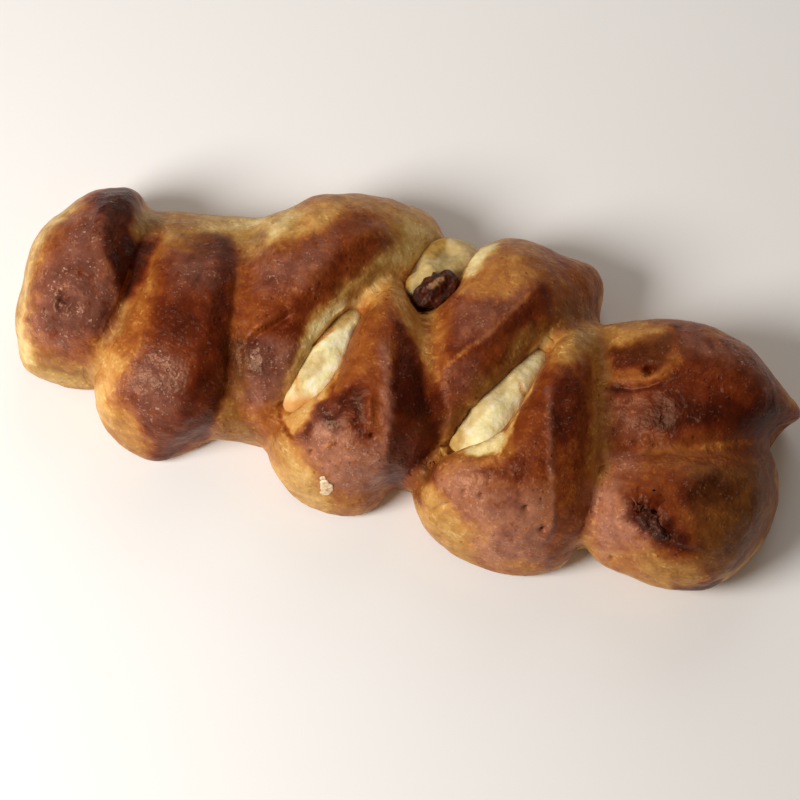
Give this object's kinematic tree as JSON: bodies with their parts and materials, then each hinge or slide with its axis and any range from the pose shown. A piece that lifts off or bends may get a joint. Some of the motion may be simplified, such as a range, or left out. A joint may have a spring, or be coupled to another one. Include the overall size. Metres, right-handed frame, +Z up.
{
  "type": "braided sweet bun",
  "caption": "Plaited sweet yeast bun with a browned crust, pale cream filling showing in its clefts, and raisins.",
  "frame": {"origin": "centre of the bounding box in plan, at the flat underside", "axes": "+X along the plait towards the end with the pointed strand, +Z up, +Y away from the side with the two large rounded lobes"},
  "size_m": [0.2028, 0.0894, 0.038],
  "materials": {
    "crust": "egg-washed baked crust, brown on the tops and pale in the grooves, satin",
    "cream": "baked cream filling, pale yellow, moist",
    "raisin": "wrinkled dark raisin skin, glossy"
  },
  "bodies": {
    "root": {"braided_dough": "crust", "cream_filling": "cream", "raisin_1": "raisin", "raisin_2": "raisin"}
  },
  "joints": []
}
